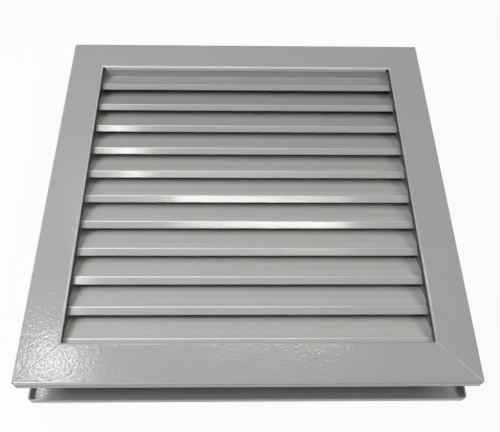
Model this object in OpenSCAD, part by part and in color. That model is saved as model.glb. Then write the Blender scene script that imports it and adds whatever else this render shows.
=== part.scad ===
// Fixed-blade air louver for a door leaf: a mitred face frame with a blade core behind it, and a second
// mitred frame that closes on the leaf from the other side. It lies face up, X along the blades,
// -Y towards the foot of the louver, Z out of the face, with the origin under its middle.

/* [Frames] */
// Width over the face frame
overall_w = 343; // [290:1:420]
// Height over the face frame
overall_h = 343; // [300:1:420]
// Width of the face of the front frame
face_w = 31.5; // [28:0.5:38]
// Depth of the lip at the outer edge of both frames
lip_depth = 8; // [6:0.5:10]
// Depth of the return at the edge of the opening
return_depth = 4.8; // [3.5:0.1:5.6]
// Sheet thickness of the frames and channels
frame_t = 1.2; // [0.9:0.1:1.5]
// Inside radius of the folds in the frames and channels
frame_r = 0.8; // [0.5:0.1:1.2]
// Plan radius of the dressed outer corners
corner_r = 3; // [2:0.5:4]
// Width of the seam at each mitre
seam = 0.12; // [0.08:0.02:0.3]
// Thickness of the door leaf held between the frames
leaf_t = 35; // [32:1:45]

/* [Core] */
// Depth of the channels behind the face sheet
core_depth = 30; // [28:1:34]
// Width of the channel flange that lies under the face
core_flange = 13; // [11:0.5:15]
// Clearance between nested sheets
nest_gap = 0.3; // [0.2:0.05:0.5]
// Overlap of the rear frame's neck with the channels
nest_lap = 8; // [5:0.5:10]

/* [Blades] */
// Sheet thickness of a blade
blade_t = 1; // [0.8:0.1:1.2]
// Inside radius of the folds in a blade
blade_r = 0.8; // [0.5:0.1:1.2]
// Depth of the blades' front folds below the face
blade_set = 7; // [6.5:0.1:8]
// Height of a blade's front lip
blade_lip = 6.4; // [5.5:0.1:8]
// Angle by which the lip leans back to its lower edge
lip_lean = 5; // [2:0.5:8]
// Angle of a blade's web from the plane of the face
blade_slope = 25; // [20:1:28]
// Height by which a web passes behind the lip above it
blade_lap = 12.5; // [9:0.5:14]
// Height of the stiffening flange along a blade's upper edge
blade_top = 6; // [4:0.5:7]
// Drop from the head channel to the first blade's lower edge
first_drop = 23.5; // [22.5:0.5:26]
// Clearance between the first blade's flange and the return in front of it
flange_gap = 0.7; // [0.5:0.1:1]
// Clearance between the last blade's lip and the sill channel
last_gap = 0.5; // [0.3:0.1:1.5]
// Clearance at each end of a blade
end_gap = 0.3; // [0.2:0.1:0.6]
// Length by which a blade's lip and fold stop short of its web at each end
nose_gap = 0.9; // [0.5:0.1:1.5]
// Width of the tab at each end of a blade
tab_w = 8; // [6:0.5:9]
// Distance along the web from the front fold to the middle of the tab
tab_at = 8.5; // [7:0.1:9.5]
// Clearance between a tab and its slot
slot_gap = 0.15; // [0.1:0.05:0.3]

/* [Fixings] */
// Radius of a frame screw's shank
screw_r = 1.75; // [1.5:0.05:2]
// Radius of a screw's countersunk head
screw_head_r = 3.5; // [3.2:0.1:3.8]
// Depth of a screw's head below the rear face
screw_sink = 0.15; // [0.1:0.05:0.3]
// Distance of a screw's head from the fold of the rear neck
screw_off = 0.4; // [0.3:0.1:0.8]
// Length by which a screw passes through its clip
screw_past = 2.5; // [1:0.5:5]
// Clearance round a screw
screw_gap = 0.1; // [0.08:0.02:0.2]
// Radius of a screw's blunt point
point_r = 0.6; // [0.4:0.1:1]
// Length of each slot of the cross recess in a screw
recess_l = 3.8; // [3:0.1:4.5]
// Width of each slot of the cross recess in a screw
recess_w = 0.9; // [0.7:0.1:1.1]
// Depth of the cross recess in a screw
recess_d = 1.1; // [0.8:0.1:1.4]
// Sheet thickness of a screw clip
clip_t = 1.5; // [1.2:0.1:2]
// Width of a screw clip
clip_w = 14; // [11:0.5:16]
// Inside radius of the fold in a screw clip
clip_r = 1; // [0.5:0.1:1.5]
// Depth of the clip's seat below the face
clip_drop = 15.5; // [13:0.5:18]
// Distance between a clip and the fold of the jamb above it
clip_gap = 0.5; // [0.3:0.1:1]
// Width of clip left beside its hole
clip_edge = 1.4; // [1.2:0.1:2]
// Distance of the left head rivet from the middle
rivet_left = 56; // [40:1:70]
// Distance of the right head rivet from the middle
rivet_right = 43; // [30:1:70]
// Radius of a rivet's shank
rivet_r = 1.6; // [1.2:0.1:1.8]
// Radius of a rivet's head
rivet_head_r = 2.2; // [2:0.1:2.6]
// Height of a rivet's head
rivet_head_h = 0.9; // [0.6:0.1:1.2]
// Height of a rivet's set end
rivet_set_h = 1.4; // [1:0.1:2]
// Clearance round a rivet's shank
rivet_gap = 0.05; // [0.04:0.01:0.1]
// Depth of the rivets below the face
rivet_drop = 9.6; // [9:0.1:10]

/* [Hidden] */
blade_count = 11;
$fn = 48;
paint = [0.63, 0.63, 0.61];
shade = [0.56, 0.56, 0.55];
zinc = [0.72, 0.72, 0.7];

// Sides of the frames, as quarter turns from the foot
foot = 0;
right = 1;
head = 2;
left = 3;

// Levels above the rear face
face_z = leaf_t + 2 * lip_depth;
core_z = face_z - frame_t;
clip_z = face_z - clip_drop;

// Outer radius of a frame fold, and half sizes of the neck inside the channels
frame_ro = frame_t + frame_r;
neck_w = overall_w / 2 - face_w + frame_t + nest_gap;
neck_h = overall_h / 2 - face_w + frame_t + nest_gap;

// Distance in from the overall size to the channels and to the rear frame's neck
core_in = face_w - frame_t - nest_gap;
rear_in = core_in - frame_t - nest_gap;
rear_neck = core_z - core_depth + nest_lap;

// Gap between faces that are riveted together
touch = 0.02;

// Blade section, measured from its lower front edge with Y up the face and Z out of it
blade_ro = blade_t + blade_r;
first_y = neck_h - first_drop;
last_y = last_gap - neck_h;
pitch = (first_y - last_y) / (blade_count - 1);
lip_y = blade_lip * cos(lip_lean);
lip_z = blade_lip * sin(lip_lean);
web_rise = pitch - lip_y + blade_lap;
head_rise = first_drop - lip_y - blade_t - touch;
head_fold = 90 + blade_slope;
head_flange = blade_set + head_rise * tan(blade_slope) - return_depth - flange_gap;

// Screws and clips sit beside the jambs, half-way between two blades' tabs
screw_x = overall_w / 2 - rear_in + frame_ro + screw_head_r + screw_off;
sink_r = screw_head_r + screw_sink + screw_gap;
clip_ro = clip_t + clip_r;
clip_pairs = [2, 9];

// Overshoots of cuts
over = 0.01;
spare = 5;

// Lower front edge of blade number i
function blade_y(i) = first_y - (i - 1) * pitch;
function clip_y(i) = (blade_y(i) + blade_y(i + 1)) / 2 + lip_y + tab_at * cos(blade_slope);
function run(side) = side % 2 == 0 ? overall_w : overall_h;
function reach(side) = (side % 2 == 0 ? overall_h : overall_w) / 2;
// Length that a fold takes from the flat beside it
function setback(radius, turn) = radius * tan(abs(turn) / 2);

// Ring sector about the origin, from the +X axis through turn degrees
module arc_sector(ri, ro, turn) {
  intersection() {
    difference() {
      circle(r = ro);
      circle(r = ri);
    }
    polygon(concat([[0, 0]], [for (k = [0:3]) 2 * ro * [cos(turn * k / 3), sin(turn * k / 3)]]));
  }
}

// Folded sheet in section: the path runs along its show face, and the sheet lies on the right of the path
module fold(flats, turns, t, r) {
  translate([0, -t]) square([flats[0], t]);
  if (len(turns) > 0) {
    turn = turns[0];
    centre = turn > 0 ? r : -(t + r);
    translate([flats[0], centre]) {
      rotate(turn > 0 ? -90 : 90) arc_sector(r, t + r, turn);
      rotate(turn) translate([0, -centre])
        fold([for (k = [1:len(flats) - 1]) flats[k]],
             len(turns) > 1 ? [for (k = [1:len(turns) - 1]) turns[k]] : [], t, r);
    }
  }
}

// Lip, face and inner leg of a frame, X inwards from the outer edge and Y up to the face
module frame_section(face, leg) {
  translate([0, -lip_depth]) rotate(90)
    fold([lip_depth - frame_ro, face - 2 * frame_ro, leg - frame_ro], [-90, -90], frame_t, frame_r);
}

// Flange and web of a channel, with the same axes
module channel_section() {
  translate([core_in - core_flange, 0])
    fold([core_flange - frame_ro, core_depth - frame_ro], [-90], frame_t, frame_r);
}

// One mitred member of a four-sided frame, from its section
module member(side, z) {
  shift = seam / sqrt(2);
  width = face_w + spare;
  half = run(side) / 2;
  edge = reach(side);
  rotate([0, 0, 90 * side]) intersection() {
    translate([0, -edge, z]) rotate([90, 0, 90])
      linear_extrude(height = run(side), center = true) children();
    translate([0, 0, -spare]) linear_extrude(height = face_z + 2 * spare)
      polygon([[shift - half - 1, -edge - 1], [half + 1 - shift, -edge - 1],
               [half - width - shift, width - edge], [width + shift - half, width - edge]]);
  }
}

// Plan of the frames with their dressed corners
module dressed_plan() {
  w = overall_w / 2 - corner_r;
  h = overall_h / 2 - corner_r;
  union() {
    square([2 * w, overall_h], center = true);
    square([overall_w, 2 * h], center = true);
    for (x = [-w, w]) {
      for (y = [-h, h]) {
        translate([x, y]) circle(r = corner_r);
      }
    }
  }
}

// Front frame member: lip, face and return
module front_side(side) {
  color(paint) intersection() {
    member(side, face_z) frame_section(face_w, return_depth);
    translate([0, 0, face_z - lip_depth - spare])
      linear_extrude(height = lip_depth + 2 * spare) dressed_plan();
  }
}

// Rear frame member: lip, face and the neck that slides over the channels
module rear_side(side) {
  color(paint) difference() {
    intersection() {
      member(side, 0) mirror([0, 1]) frame_section(rear_in, rear_neck);
      translate([0, 0, -spare]) linear_extrude(height = rear_neck + 2 * spare) dressed_plan();
    }
    if (side == left || side == right) {
      at_screws() translate([0, 0, -over])
        cylinder(h = frame_t + 2 * over, r1 = sink_r + over, r2 = sink_r - frame_t - over);
    }
  }
}

// Channel of the core: the jambs are slotted for the blades' tabs, the head is drilled for the rivets
module channel_side(side) {
  color(shade) difference() {
    member(side, core_z) channel_section();
    if (side == left || side == right) {
      turn_x = side == right ? 1 : -1;
      for (i = [1:blade_count]) {
        translate([turn_x * (neck_w + frame_t / 2), 0, 0])
          blade_place(i) tab_section(slot_gap, 2 * frame_t);
      }
    }
    if (side == head) {
      at_rivets() cylinder(h = 4 * frame_t, r = rivet_r + rivet_gap, center = true);
    }
  }
}

// Puts a section drawn about a blade's front fold at blade number i
module blade_place(i) {
  translate([0, blade_y(i) + lip_y, face_z - blade_set]) rotate([90, 0, 90]) children();
}

// Flat of the web that passes through the jambs
module tab_section(gap, length) {
  linear_extrude(height = length, center = true)
    rotate(-blade_slope) translate([tab_at - tab_w / 2 - gap, -blade_t - gap])
      square([tab_w + 2 * gap, blade_t + 2 * gap]);
}

// Folded section of a blade about its front fold: the web's length and the last fold differ at the head
module blade_section(rise, last_turn, last_leg) {
  nose = lip_lean + blade_slope;
  web = rise / cos(blade_slope);
  translate([-lip_y, -lip_z]) rotate(lip_lean)
    fold([blade_lip - setback(blade_ro, nose),
          web - setback(blade_ro, nose) - setback(blade_r, last_turn),
          last_leg - setback(blade_r, last_turn)],
         [-nose, last_turn], blade_t, blade_r);
}

// Reliefs that shorten the lip, the fold and the front of the web, up to the tabs
module nose_reliefs() {
  inner = neck_w - end_gap - nose_gap;
  for (end = [-1, 1]) {
    translate([0, 0, end * (inner + spare / 2)]) linear_extrude(height = spare, center = true)
      rotate(-blade_slope) translate([-blade_lip - spare, -spare])
        square([blade_lip + spare + tab_at - tab_w / 2, 2 * spare]);
  }
}

// Blade number i, with a tab at each end
module blade(i) {
  color(paint) difference() {
    union() {
      blade_place(i) linear_extrude(height = 2 * (neck_w - end_gap), center = true)
        if (i == 1) {
          blade_section(head_rise, head_fold, head_flange);
        } else {
          blade_section(web_rise, blade_slope, blade_top);
        }
      blade_place(i) tab_section(0, 2 * (neck_w + frame_t));
    }
    blade_place(i) nose_reliefs();
    if (i == 1) {
      at_rivets() cylinder(h = 4 * frame_t, r = rivet_r + rivet_gap, center = true);
    }
  }
}

// Places of the head rivets, Z up the louver through the first blade's flange and the head channel
module at_rivets() {
  for (x = [-rivet_left, rivet_right]) {
    translate([x, neck_h, face_z - rivet_drop]) rotate([-90, 0, 0]) children();
  }
}

// Blind rivets: a low head on the blade, the shank, and the set end behind the channel
module head_rivets() {
  dome_r = (rivet_head_r * rivet_head_r + rivet_head_h * rivet_head_h) / (2 * rivet_head_h);
  color(paint) at_rivets() {
    translate([0, 0, -blade_t - 2 * touch]) intersection() {
      translate([0, 0, dome_r - rivet_head_h]) sphere(r = dome_r);
      translate([0, 0, -rivet_head_h]) cylinder(h = rivet_head_h, r = dome_r);
    }
    translate([0, 0, -blade_t - 3 * touch]) cylinder(h = blade_t + frame_t + 5 * touch, r = rivet_r);
    translate([0, 0, frame_t + touch]) cylinder(h = rivet_set_h, r1 = rivet_head_r, r2 = rivet_r);
  }
}

// Places of the frame screws, on both jambs
module at_screws() {
  for (x = [-screw_x, screw_x]) {
    for (i = clip_pairs) {
      translate([x, clip_y(i), 0]) children();
    }
  }
}

// Angle clips on the jambs that take the screws' points
module screw_clips() {
  seat = screw_x - neck_w - frame_t + screw_r + screw_gap + clip_edge;
  top = core_z - frame_ro - clip_gap;
  color(shade) for (turn = [0, 180]) {
    for (i = clip_pairs) {
      translate([0, clip_y(i), 0]) rotate([0, 0, turn]) difference() {
        translate([neck_w + frame_t, 0, top]) rotate([90, 0, 0])
          linear_extrude(height = clip_w, center = true) rotate(-90)
            translate([0, clip_t])
              fold([top - clip_z + clip_t - clip_ro, seat - clip_ro], [90], clip_t, clip_r);
        translate([screw_x, 0, clip_z - 2 * clip_t]) cylinder(h = 3 * clip_t, r = screw_r + screw_gap);
      }
    }
  }
}

// Countersunk screws from the rear frame up into the clips, each with a cross recess
module frame_screws() {
  cone_h = screw_head_r - screw_r;
  point_z = clip_z + screw_past - screw_r;
  color(zinc) at_screws() difference() {
    union() {
      translate([0, 0, screw_sink]) cylinder(h = cone_h, r1 = screw_head_r, r2 = screw_r);
      translate([0, 0, screw_sink]) cylinder(h = point_z - screw_sink, r = screw_r);
      translate([0, 0, point_z]) cylinder(h = screw_r, r1 = screw_r, r2 = point_r);
    }
    for (a = [0, 90]) {
      rotate([0, 0, a]) translate([0, 0, screw_sink]) cube([recess_l, recess_w, 2 * recess_d], center = true);
    }
  }
}

front_side(head);  // front_top
front_side(foot);  // front_bottom
front_side(left);  // front_left
front_side(right);  // front_right
rear_side(head);  // rear_top
rear_side(foot);  // rear_bottom
rear_side(left);  // rear_left
rear_side(right);  // rear_right
channel_side(head);  // head_channel
channel_side(foot);  // sill_channel
channel_side(left);  // jamb_left
channel_side(right);  // jamb_right
blade(1);  // blade_01
blade(2);  // blade_02
blade(3);  // blade_03
blade(4);  // blade_04
blade(5);  // blade_05
blade(6);  // blade_06
blade(7);  // blade_07
blade(8);  // blade_08
blade(9);  // blade_09
blade(10);  // blade_10
blade(11);  // blade_11
head_rivets();
screw_clips();
frame_screws();
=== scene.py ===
import math
import bpy
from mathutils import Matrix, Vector


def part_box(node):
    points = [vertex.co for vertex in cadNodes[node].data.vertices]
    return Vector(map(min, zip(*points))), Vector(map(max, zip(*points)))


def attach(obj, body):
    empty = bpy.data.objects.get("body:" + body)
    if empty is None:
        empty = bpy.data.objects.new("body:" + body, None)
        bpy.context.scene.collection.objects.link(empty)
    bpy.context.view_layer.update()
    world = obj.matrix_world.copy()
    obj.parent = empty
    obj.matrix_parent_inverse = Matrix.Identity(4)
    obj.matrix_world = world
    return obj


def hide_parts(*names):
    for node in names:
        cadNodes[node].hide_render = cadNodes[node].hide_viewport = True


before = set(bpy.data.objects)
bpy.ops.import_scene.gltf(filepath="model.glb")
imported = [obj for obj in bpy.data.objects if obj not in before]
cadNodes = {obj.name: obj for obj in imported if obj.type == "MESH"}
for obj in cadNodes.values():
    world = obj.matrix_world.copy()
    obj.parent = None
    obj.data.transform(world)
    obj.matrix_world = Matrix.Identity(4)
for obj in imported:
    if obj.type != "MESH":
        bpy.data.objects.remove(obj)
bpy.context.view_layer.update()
print("louver loaded,", len(cadNodes), "CAD nodes")

mm = 0.001


def drawn(size):
    # a size read from the frame, to the tenth of a millimetre that it was drawn to
    return round(size, 4)


# sizes that the paint follows, blade_11 being the foot's blade
frontLow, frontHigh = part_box("front_left")
faceLevel = drawn(frontHigh[2])
outerHalf = -drawn(frontLow[0])
openHalf = -drawn(frontHigh[0])
footBladeEdge = drawn(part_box("blade_11")[0][1])
bladePitch = drawn(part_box("blade_10")[0][1] - footBladeEdge)


# camera, at the photograph's angle
photoCamera = {
    "place": (-0.0098, -0.2986, 0.4943),
    "turn": (31.21, -1.11, -0.58),  # degrees
    "lens": 44.49,  # millimetres, like the sensor's width
    "sensor": 36.0,
    "sees": (0.01, 20),  # from and to, in metres
}


def makeCamera(view):
    data = bpy.data.cameras.new("photoCamera")
    data.sensor_fit = "HORIZONTAL"
    data.sensor_width = view["sensor"]
    data.lens = view["lens"]
    data.clip_start, data.clip_end = view["sees"]
    camera = bpy.data.objects.new("photoCamera", data)
    camera.location = view["place"]
    camera.rotation_euler = [math.radians(angle) for angle in view["turn"]]
    bpy.context.scene.collection.objects.link(camera)
    bpy.context.scene.camera = camera


makeCamera(photoCamera)
print("camera placed")


# soft studio lamps: where each hangs and its sides in metres, and its power in watts
white = (1.0, 1.0, 1.0)
warm = (1.0, 1.0, 0.93)
cool = (0.985, 0.985, 1.0)
lampTarget = (0, 0, 0.05)
lampPlan = {
    "leftBox": {"place": (-0.470, -0.210, 0.750), "sides": (0.28, 0.32), "power": 4.6, "colour": white},
    "rightHigh": {"place": (1.000, 0.000, 1.299), "sides": (0.35, 0.35), "power": 3.5, "colour": warm},
    "rightLow": {"place": (0.931, -0.582, 1.214), "sides": (0.40, 0.40), "power": 4.2, "colour": cool},
    "headLamp": {"place": (0.070, 0.570, 1.545), "sides": (0.60, 0.11), "power": 3.9, "colour": warm},
    "sideLamp": {"place": (-0.560, 0.290, 1.430), "sides": (0.13, 0.11), "power": 0.86, "colour": white},
    "backLamp": {"place": (-0.400, 0.790, 1.500), "sides": (0.09, 0.26), "power": 1.3, "colour": warm},
}


def makeLamp(name, plan):
    data = bpy.data.lights.new(name, "AREA")
    data.shape = "RECTANGLE"
    data.size, data.size_y = plan["sides"]
    data.energy = plan["power"]
    data.color = plan["colour"]
    lamp = bpy.data.objects.new(name, data)
    lamp.location = plan["place"]
    towards = Vector(lampTarget) - Vector(plan["place"])
    lamp.rotation_euler = towards.to_track_quat("-Z", "Y").to_euler()
    bpy.context.scene.collection.objects.link(lamp)


for lampName, lampSettings in lampPlan.items():
    makeLamp(lampName, lampSettings)
print(len(lampPlan), "lamps hung")


class Wires:
    # adds shader nodes to one tree and joins them
    def __init__(self, tree):
        self.tree = tree

    def plug(self, value, socket):
        if isinstance(value, bpy.types.NodeSocket):
            self.tree.links.new(value, socket)
        else:
            socket.default_value = value

    def add(self, kind, values=None, inputs=None):
        node = self.tree.nodes.new(kind)
        for key, value in (values or {}).items():
            setattr(node, key, value)
        for key, value in (inputs or {}).items():
            self.plug(value, node.inputs[key])
        return node

    def math(self, operation, first, second=0.5, clamp=False):
        node = self.add("ShaderNodeMath", {"operation": operation, "use_clamp": clamp}, {0: first, 1: second})
        return node.outputs[0]

    def product(self, *values):
        result = values[0]
        for value in values[1:]:
            result = self.math("MULTIPLY", result, value)
        return result

    def axes(self, place):
        return list(self.add("ShaderNodeSeparateXYZ", {}, {0: place}).outputs)

    def noise(self, place, size, detail=2.0, roughness=0.5):
        inputs = {"Vector": place, "Scale": size, "Detail": detail, "Roughness": roughness}
        return self.add("ShaderNodeTexNoise", {}, inputs).outputs["Fac"]

    def spread(self, value, low, high, newLow, newHigh, smooth=False):
        inputs = {"Value": value, "From Min": low, "From Max": high, "To Min": newLow, "To Max": newHigh}
        kind = "SMOOTHSTEP" if smooth else "LINEAR"
        return self.add("ShaderNodeMapRange", {"interpolation_type": kind}, inputs).outputs["Result"]

    def above(self, value, edge, soft, full=1):
        # nothing below the edge, rising to full within soft
        return self.spread(value, edge, edge + soft, 0, full)

    def below(self, value, edge, soft, full=1):
        # full below the edge, fading to nothing within soft
        return self.spread(value, edge, edge + soft, full, 0)

    def line(self, value, middle, half, soft):
        # full up to half from the middle, fading to nothing within soft
        away = self.math("ABSOLUTE", self.math("SUBTRACT", value, middle))
        return self.spread(away, half, half + soft, 1, 0, True)

    def blend(self, amount, first, second, kind="MIX"):
        node = self.add("ShaderNodeMix", {"data_type": "RGBA", "blend_type": kind}, {"Factor": amount})
        # sockets 6 and 7 are the Mix node's two colours, and output 2 is its result
        for value, socket in zip((first, second), (node.inputs[6], node.inputs[7])):
            colour = value if isinstance(value, bpy.types.NodeSocket) else (*value, 1)
            self.plug(colour, socket)
        return node.outputs[2]

    def bump(self, height, depth, normal=None):
        inputs = {"Strength": 1.0, "Distance": depth, "Height": height}
        if normal is not None:
            inputs["Normal"] = normal
        return self.add("ShaderNodeBump", {}, inputs).outputs[0]


def newMaterial(name):
    material = bpy.data.materials.new(name)
    material.use_nodes = True
    material.node_tree.nodes.clear()
    wires = Wires(material.node_tree)
    return material, wires, wires.add("ShaderNodeTexCoord").outputs["Object"]


# white surroundings for the camera and in reflections, and a faint plain light for everything else
surroundings = {
    "fill": 0.02,
    "floorColour": (0.70, 0.70, 0.70),
    "floorGlow": 0.93,
    "floorSize": 6.0,
    "floorLevel": -0.2 * mm,
    "grainSize": 60,
    "grainDetail": 3,
    "grainRange": (0.3, 0.7),
    "grainTone": 0.99,
    "roughness": 0.9,
    "shine": 0.1,
}


def shownWhite(wires):
    path = wires.add("ShaderNodeLightPath")
    seen = wires.math("ADD", path.outputs["Is Camera Ray"], path.outputs["Is Glossy Ray"], clamp=True)
    return wires.math("ADD", seen, path.outputs["Is Transmission Ray"], clamp=True)


def makeWorld(plan):
    world = bpy.data.worlds.new("studio")
    world.use_nodes = True
    world.node_tree.nodes.clear()
    wires = Wires(world.node_tree)
    light = wires.add("ShaderNodeBackground", {}, {"Color": (1, 1, 1, 1), "Strength": plan["fill"]})
    backdrop = wires.add("ShaderNodeBackground", {}, {"Color": (1, 1, 1, 1), "Strength": 1.0})
    mix = wires.add("ShaderNodeMixShader", {}, {0: shownWhite(wires), 1: light.outputs[0],
                                                2: backdrop.outputs[0]})
    wires.add("ShaderNodeOutputWorld", {}, {"Surface": mix.outputs[0]})
    bpy.context.scene.world = world


def makeFloor(plan):
    material, wires, place = newMaterial("paperFloor")
    grain = wires.noise(place, plan["grainSize"], plan["grainDetail"])
    darker = [plan["grainTone"] * part for part in plan["floorColour"]]
    tone = wires.blend(wires.spread(grain, *plan["grainRange"], 0, 1), plan["floorColour"], darker)
    paper = wires.add("ShaderNodeBsdfPrincipled", {}, {
        "Base Color": tone, "Roughness": plan["roughness"], "Specular IOR Level": plan["shine"]})
    glow = wires.add("ShaderNodeEmission", {}, {"Color": (1, 1, 1, 1), "Strength": 1.0})
    share = wires.math("MULTIPLY", shownWhite(wires), plan["floorGlow"])
    mix = wires.add("ShaderNodeMixShader", {}, {0: share, 1: paper.outputs[0], 2: glow.outputs[0]})
    wires.add("ShaderNodeOutputMaterial", {}, {"Surface": mix.outputs[0]})
    bpy.ops.mesh.primitive_plane_add(size=plan["floorSize"], location=(0, 0, plan["floorLevel"]))
    floor = bpy.context.object
    floor.name = "floor"
    bpy.ops.object.transform_apply(location=True, rotation=True, scale=True)
    floor.data.materials.append(material)


makeWorld(surroundings)
makeFloor(surroundings)
print("studio lit")


# powder coat: colours and finish of the frames, the blades and the channels
paints = {
    "framePaint": {
        "light": (0.368, 0.370, 0.366),
        "dark": (0.356, 0.358, 0.354),
        "roughness": (0.13, 0.16),
        "peelSize": 460,
        "peelDepth": 0.112 * mm,
        "speckDepth": 0.003 * mm,
    },
    "bladePaint": {
        "light": (0.514, 0.516, 0.510),
        "dark": (0.502, 0.504, 0.498),
        "roughness": (0.12, 0.15),
        "peelSize": 420,
        "peelDepth": 0.030 * mm,
        "speckDepth": 0.002 * mm,
    },
    # painted shade: the channels are painted dark grey so that the gaps beside the blade ends read as deep
    # shade
    "channelPaint": {
        "light": (0.150, 0.151, 0.149),
        "dark": (0.120, 0.121, 0.119),
        "roughness": (0.38, 0.50),
        "peelSize": 480,
        "peelDepth": 0.020 * mm,
        "speckDepth": 0.005 * mm,
    },
}

# what every coat has: a broad drift of tone, a faint mottle, orange peel and fine specks
coat = {
    "driftSize": 9,
    "driftDetail": 3,
    "driftRange": (0.32, 0.68),
    "driftShare": 0.75,
    "mottleSize": 70,
    "mottleRange": (0.35, 0.65),
    "mottleShare": 0.25,
    "glossRange": (0.3, 0.7),
    "peelDetail": 1.5,
    "peelRoughness": 0.4,
    "speckSize": 2600,
    "speckRange": (0.3, 0.7),
    "speckTone": (0.985, 1.015),
    "ior": 1.55,
    "shine": 0.5,
    "shadeShine": 0.05,
}

# the front frame's foot mitres
# a dark hairline with a painted highlight along its edge on the left, and on the right a broken painted
# highlight along the seam instead
mitreShape = {
    "half": 0.28 * mm,
    "soft": 0.22 * mm,
    "change": 20 * mm,
    "darkTone": (0.10, 0.10, 0.10),
    "darkShare": 0.75,
    # the painted highlight's colour
    "mitreHighlightTone": (0.72, 0.72, 0.72),
    "edgeAt": 0.75 * mm,
    "edgeHighlightShare": 0.4,
    "breakSize": 240,
    "breakRange": (0.38, 0.52),
    "breakHighlightShare": (0.25, 0.9),
}


def paintMitresAndHighlights(wires, place, tone, mitre):
    x, y = wires.axes(place)[:2]
    across = wires.math("SUBTRACT", wires.math("ABSOLUTE", x), wires.math("ABSOLUTE", y))
    seam = wires.line(across, 0, mitre["half"], mitre["soft"])
    edge = wires.line(across, mitre["edgeAt"], mitre["half"], mitre["soft"])
    start = -mitre["change"] / 2
    foot = wires.below(y, start, mitre["change"])
    right = wires.product(foot, wires.above(x, start, mitre["change"]))
    left = wires.product(foot, wires.below(x, start, mitre["change"]))
    broken = wires.spread(wires.noise(place, mitre["breakSize"]), *mitre["breakRange"], *mitre["breakHighlightShare"])
    # painted highlights along the mitres
    tone = wires.blend(wires.product(seam, right, broken), tone, mitre["mitreHighlightTone"])
    tone = wires.blend(wires.product(edge, left, mitre["edgeHighlightShare"]), tone, mitre["mitreHighlightTone"])
    return wires.blend(wires.product(seam, left, mitre["darkShare"]), tone, mitre["darkTone"])


# painted highlights: the frame's folds are painted lighter, most on the left, and so is the head's return,
# where light falls on it
# painted shade: the returns beside the blades are painted nearly black, for the deep shade there
frameLightAndShade = {
    "half": 0.30 * mm,
    "soft": 0.45 * mm,
    # the painted highlight's colour
    "tone": (0.78, 0.78, 0.78),
    "share": (0.42, 0.12),
    "outerIn": 0.6 * mm,
    "innerOut": 0.9 * mm,
    "down": 1.6 * mm,
    "returnOut": 1.1 * mm,
    "returnIn": 2.0 * mm,
    "returnDown": 1.2 * mm,
    "returnPaintedShade": 0.9,
    "headDown": 5.0 * mm,
    "headLightShare": 0.7,
    # the painted shade's colour
    "shadeTone": (0.03, 0.03, 0.03),
}


def paintFrameLightAndShade(wires, place, tone, fold):
    x, y, z = wires.axes(place)
    aside = wires.math("ABSOLUTE", x)
    reach = wires.math("MAXIMUM", aside, wires.math("ABSOLUTE", y))
    # painted highlight lines along the outer and inner folds
    outer = wires.line(reach, outerHalf - fold["outerIn"], fold["half"], fold["soft"])
    inner = wires.line(reach, openHalf + fold["innerOut"], fold["half"], fold["soft"])
    top = wires.above(z, faceLevel - fold["down"], fold["soft"])
    share = wires.spread(x, -openHalf, openHalf, *fold["share"])
    foldHighlights = wires.product(wires.math("ADD", outer, inner, clamp=True), wires.product(top, share))
    tone = wires.blend(foldHighlights, tone, fold["tone"])
    # painted light on the head's return
    opening = wires.below(reach, openHalf + fold["returnOut"], fold["soft"])
    head = wires.product(wires.math("GREATER_THAN", y, openHalf - fold["returnIn"]), opening)
    lit = wires.above(z, faceLevel - fold["headDown"], fold["soft"], fold["headLightShare"])
    tone = wires.blend(wires.product(head, lit), tone, fold["tone"])
    # painted shade on the returns beside the blades
    sides = wires.product(opening, wires.math("GREATER_THAN", aside, openHalf - fold["returnIn"]))
    depth = wires.below(z, faceLevel - fold["returnDown"], fold["soft"], fold["returnPaintedShade"])
    shade = wires.product(sides, depth)
    return wires.blend(shade, tone, fold["shadeTone"]), shade


# painted highlights: the blades' folds are painted lighter too, less so on the right and on the upper blades
# painted shade: the lips, the web beside a fold and the upper blades are painted darker, for how light falls
# on them
# painted shade: the web's end under the next lip is painted nearly black, deeper towards the head
bladeLightAndShade = {
    "foldAt": 6.25 * mm,
    "half": 0.38 * mm,
    "soft": 0.35 * mm,
    # the painted highlight's colour
    "tone": (0.80, 0.80, 0.80),
    "share": (0.95, 0.15),
    "shareRange": (-130 * mm, 100 * mm),
    "headLightShare": 0.2,
    "headLine": 0.6,
    "frontLevel": 43.0 * mm,
    # the painted shade's grey
    "bladeShadeTone": (0.26, 0.26, 0.26),
    "lipShadeShare": 0.46,
    "webShadeShare": 0.32,
    "webReach": 12 * mm,
    "upperShadeShare": 0.40,
    "upperRange": (0, 120 * mm),
    "shadeLean": 0.0185,
    "shadeRange": (31.7 * mm, 33.0 * mm),
    "shade": (0.60, 0.98),
    "shadeRise": (-100 * mm, 60 * mm),
    "shadeTone": (0.03, 0.03, 0.03),
}


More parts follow.
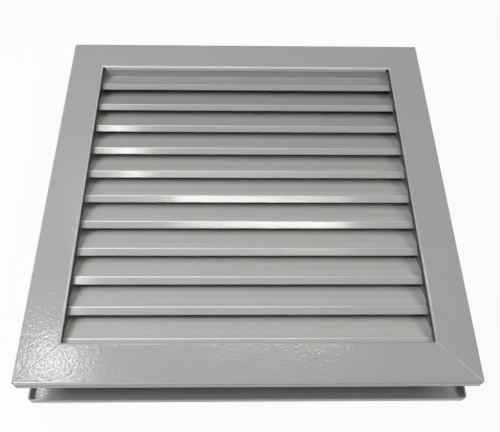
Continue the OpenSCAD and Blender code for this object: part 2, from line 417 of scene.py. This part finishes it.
def paintBladeLightAndShade(wires, place, tone, fold):
    x, y, z = wires.axes(place)
    # how far up its own blade a point lies, from the lip's lower edge
    along = wires.math("FLOORED_MODULO", wires.math("SUBTRACT", y, footBladeEdge), bladePitch)
    upper = wires.spread(y, *fold["upperRange"], 0, 1)
    # painted shade on the upper blades
    tone = wires.blend(wires.product(upper, fold["upperShadeShare"]), tone, fold["bladeShadeTone"])
    front = wires.above(z, fold["frontLevel"], fold["soft"])
    # painted shade on the lips
    lip = wires.below(along, fold["foldAt"] - fold["half"], fold["half"], fold["lipShadeShare"])
    tone = wires.blend(wires.product(lip, front), tone, fold["bladeShadeTone"])
    # painted shade on the web beside a fold
    web = wires.product(wires.below(along, fold["foldAt"], fold["webReach"], fold["webShadeShare"]),
                        wires.math("GREATER_THAN", along, fold["foldAt"]))
    tone = wires.blend(web, tone, fold["bladeShadeTone"])
    # a painted highlight line along each fold
    line = wires.product(wires.line(along, fold["foldAt"], fold["half"], fold["soft"]),
                         wires.spread(x, *fold["shareRange"], *fold["share"]),
                         wires.spread(upper, fold["headLine"], 1, 1, fold["headLightShare"]))
    tone = wires.blend(wires.product(line, front), tone, fold["tone"])
    # painted shade under each lip
    depth = wires.math("ADD", z, wires.product(y, fold["shadeLean"]))
    shade = wires.product(wires.spread(depth, *fold["shadeRange"], 1, 0, True),
                          wires.spread(y, *fold["shadeRise"], *fold["shade"]))
    return wires.blend(shade, tone, fold["shadeTone"]), shade


def makePaint(name, paint):
    material, wires, place = newMaterial(name)
    broad = wires.noise(place, coat["driftSize"], coat["driftDetail"])
    patch = wires.noise(place, coat["mottleSize"])
    peel = wires.noise(place, paint["peelSize"], coat["peelDetail"], coat["peelRoughness"])
    fine = wires.noise(place, coat["speckSize"])
    drift = wires.spread(broad, *coat["driftRange"], 0, coat["driftShare"])
    mottle = wires.spread(patch, *coat["mottleRange"], 0, coat["mottleShare"])
    tone = wires.blend(wires.math("ADD", drift, mottle, clamp=True), paint["dark"], paint["light"])
    speck = wires.spread(fine, *coat["speckRange"], *coat["speckTone"])
    grey = wires.add("ShaderNodeCombineColor", {}, {0: speck, 1: speck, 2: speck}).outputs[0]
    tone = wires.blend(1.0, tone, grey, "MULTIPLY")
    # where shade is painted, the shine drops too, as what lies in shade has nothing bright to mirror
    shine = coat["shine"]
    # the frames and blades get painted highlights and painted shade
    if name == "framePaint":
        tone, shade = paintFrameLightAndShade(wires, place, tone, frameLightAndShade)
        tone = paintMitresAndHighlights(wires, place, tone, mitreShape)
        shine = wires.spread(shade, 0, 1, coat["shine"], coat["shadeShine"])
    if name == "bladePaint":
        tone, shade = paintBladeLightAndShade(wires, place, tone, bladeLightAndShade)
        shine = wires.spread(shade, 0, 1, coat["shine"], coat["shadeShine"])
    shader = wires.add("ShaderNodeBsdfPrincipled", {}, {
        "Base Color": tone,
        "Roughness": wires.spread(patch, *coat["glossRange"], *paint["roughness"]),
        "IOR": coat["ior"],
        "Specular IOR Level": shine,
        "Normal": wires.bump(fine, paint["speckDepth"], wires.bump(peel, paint["peelDepth"])),
    })
    wires.add("ShaderNodeOutputMaterial", {}, {"Surface": shader.outputs[0]})
    return material


# clouded zinc plating of the screws
zincPlate = {
    "dark": (0.52, 0.52, 0.50),
    "light": (0.66, 0.66, 0.63),
    "cloudSize": 320,
    "cloudDetail": 3,
    "toneRange": (0.35, 0.65),
    "glossRange": (0.3, 0.7),
    "roughness": (0.28, 0.42),
    "grainSize": 1500,
    "grainDepth": 0.01 * mm,
}


def makeZinc(name, plate):
    material, wires, place = newMaterial(name)
    cloud = wires.noise(place, plate["cloudSize"], plate["cloudDetail"])
    lighter = wires.spread(cloud, *plate["toneRange"], 0, 1)
    shader = wires.add("ShaderNodeBsdfPrincipled", {}, {
        "Base Color": wires.blend(lighter, plate["dark"], plate["light"]),
        "Metallic": 1.0,
        "Roughness": wires.spread(cloud, *plate["glossRange"], *plate["roughness"]),
        "Normal": wires.bump(wires.noise(place, plate["grainSize"]), plate["grainDepth"]),
    })
    wires.add("ShaderNodeOutputMaterial", {}, {"Surface": shader.outputs[0]})
    return material


finishes = {name: makePaint(name, paint) for name, paint in paints.items()}
finishes["screwZinc"] = makeZinc("screwZinc", zincPlate)


def finishOf(node):
    if node.startswith("blade_") or node == "head_rivets":
        return "bladePaint"
    if node.startswith(("front_", "rear_")):
        return "framePaint"
    if node == "frame_screws":
        return "screwZinc"
    return "channelPaint"


def giveFinish(item, name):
    item.data.materials.clear()
    item.data.materials.append(finishes[name])


for node, piece in cadNodes.items():
    giveFinish(piece, finishOf(node))
print("powder coat on", len(cadNodes), "nodes")


# helpers for modelling
def selectOnly(*items):
    bpy.ops.object.select_all(action="DESELECT")
    for item in items:
        item.select_set(True)
    bpy.context.view_layer.objects.active = items[0]


def settle(item):
    selectOnly(item)
    bpy.ops.object.transform_apply(location=True, rotation=True, scale=True)
    return item


def joinAll(items):
    selectOnly(*items)
    bpy.ops.object.join()
    return bpy.context.object


def applyModifier(item, kind, **values):
    selectOnly(item)
    modifier = item.modifiers.new(kind.lower(), kind)
    for key, value in values.items():
        setattr(modifier, key, value)
    bpy.ops.object.modifier_apply(modifier=modifier.name)


def combine(item, other, operation):
    applyModifier(item, "BOOLEAN", object=other, operation=operation, solver="EXACT")
    bpy.data.objects.remove(other)


def faceOutwards():
    bpy.ops.mesh.select_all(action="SELECT")
    bpy.ops.mesh.normals_make_consistent(inside=False)


def turned(name, stations, sides):
    # a round solid: a disc extruded and scaled ring by ring through the stations (radius, height)
    radius, height = stations[0]
    bpy.ops.object.select_all(action="DESELECT")
    bpy.ops.mesh.primitive_circle_add(vertices=sides, radius=radius * mm, fill_type="NGON",
                                      location=(0, 0, height * mm))
    item = bpy.context.object
    item.name = name
    settle(item)
    bpy.ops.object.mode_set(mode="EDIT")
    bpy.ops.mesh.select_all(action="SELECT")
    for newRadius, newHeight in stations[1:]:
        rise = (0, 0, (newHeight - height) * mm)
        bpy.ops.mesh.extrude_region_move(TRANSFORM_OT_translate={"value": rise})
        if newRadius != radius:
            part = newRadius / radius
            bpy.ops.transform.resize(value=(part, part, 1), center_override=(0, 0, newHeight * mm))
        radius, height = newRadius, newHeight
    faceOutwards()
    bpy.ops.object.mode_set(mode="OBJECT")
    return item


# self-tapping frame screws with a cross recess, seen in the gap for the door leaf, in millimetres
screwShape = {
    "stations": ((3.5, 0.15), (1.3, 2.35), (1.3, 36.6), (0.6, 38.0)),
    "sides": 32,
    "threadFrom": 3.0,
    "turns": 25,
    "pitch": 1.3,
    "threadSteps": 20,
    "root": 1.22,
    "crest": 1.74,
    "rootHalf": 0.36,
    "recess": {"length": 3.8, "width": 0.9, "depth": 1.1},
    "aside": 148.9,
    "along": (93.229, -88.071),
    "smoothBelow": 28,  # degrees
}


def makeThread(shape):
    # a triangle stood up with its point outwards, wound up the shank
    # its middle lies a third of the way up, and with a radius of 1 it is 1.5 high
    rise = shape["crest"] - shape["root"]
    bpy.ops.mesh.primitive_circle_add(vertices=3, radius=mm, rotation=(math.pi / 2, math.pi / 2, 0),
                                      location=((shape["root"] + rise / 3) * mm, 0, shape["threadFrom"] * mm))
    ridge = bpy.context.object
    ridge.name = "screwThread"
    ridge.scale = (shape["rootHalf"] / math.sin(math.pi / 3), rise / 1.5, 1)
    settle(ridge)
    applyModifier(ridge, "SCREW", angle=math.tau, screw_offset=shape["pitch"] * mm,
                  iterations=shape["turns"], steps=shape["threadSteps"], render_steps=shape["threadSteps"],
                  axis="Z", use_smooth_shade=False)
    bpy.ops.object.mode_set(mode="EDIT")
    bpy.ops.mesh.select_mode(type="EDGE")
    bpy.ops.mesh.select_all(action="DESELECT")
    bpy.ops.mesh.select_non_manifold()
    bpy.ops.mesh.fill()
    faceOutwards()
    bpy.ops.object.mode_set(mode="OBJECT")
    return ridge


def cutRecess(screw, recess, level):
    # two slots across the head's face, each cut by a box that is half above it
    for turn in (0, math.pi / 2):
        bpy.ops.mesh.primitive_cube_add(size=mm, location=(0, 0, level * mm), rotation=(0, 0, turn))
        slot = bpy.context.object
        slot.scale = (recess["length"], recess["width"], 2 * recess["depth"])
        combine(screw, settle(slot), "DIFFERENCE")


def makeScrews(shape):
    screw = turned("frameScrewThreaded", shape["stations"], shape["sides"])
    combine(screw, makeThread(shape), "UNION")
    cutRecess(screw, shape["recess"], shape["stations"][0][1])
    copies = []
    for side in (1, -1):
        for along in shape["along"]:
            selectOnly(screw)
            bpy.ops.object.duplicate()
            copy = bpy.context.object
            copy.location = (side * shape["aside"] * mm, along * mm, 0)
            copies.append(settle(copy))
    bpy.data.objects.remove(screw)
    screws = joinAll(copies)
    screws.name = "frameScrewsThreaded"
    bpy.ops.object.shade_smooth_by_angle(angle=math.radians(shape["smoothBelow"]))
    giveFinish(screws, "screwZinc")
    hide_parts("frame_screws")
    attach(screws, "root")
    print("frame screws threaded,", len(screws.data.polygons), "faces")


makeScrews(screwShape)


# beads of weld along the rear frame's mitres, on the side towards the door leaf, in millimetres
weldShape = {
    "dabs": 9,
    "step": 1.35,
    "from": 151.5,
    "level": 1.2,
    "sink": 0.05,
    "dab": (1.15, 0.75, 0.38),
    "dabSides": 16,
    "dabRings": 10,
    "swell": 0.12,
    "swellPace": 2.3,
    "drift": 0.12,
    "driftPace": 1.7,
    "voxel": 0.12,
}


def layDab(shape, count, sideX, sideY):
    # the dabs swell and wander a little, differently at each corner, as laid by hand
    swell = 1 + shape["swell"] * math.sin(shape["swellPace"] * count + sideX + 2 * sideY)
    drift = shape["drift"] * math.sin(shape["driftPace"] * count + 2 * sideX - sideY)
    along = shape["from"] + shape["step"] * count / math.sqrt(2)
    level = shape["level"] - shape["sink"]
    place = (sideX * (along + drift) * mm, sideY * (along - drift) * mm, level * mm)
    bpy.ops.mesh.primitive_uv_sphere_add(segments=shape["dabSides"], ring_count=shape["dabRings"], radius=mm,
                                         location=place, rotation=(0, 0, math.atan2(sideY, sideX)))
    dab = bpy.context.object
    dab.scale = [swell * part for part in shape["dab"]]
    return settle(dab)


def makeWelds(shape):
    corners = [(sideX, sideY) for sideX in (1, -1) for sideY in (-1, 1)]
    beads = [joinAll([layDab(shape, count, *corner) for count in range(shape["dabs"])]) for corner in corners]
    weld = joinAll(beads)
    weld.name = "rearWeldBeads"
    applyModifier(weld, "REMESH", mode="VOXEL", voxel_size=shape["voxel"] * mm)
    selectOnly(weld)
    bpy.ops.object.shade_smooth()
    giveFinish(weld, "framePaint")
    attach(weld, "root")
    print("weld beads laid,", len(weld.data.polygons), "faces")


makeWelds(weldShape)

bpy.context.scene.view_settings.view_transform = "Standard"
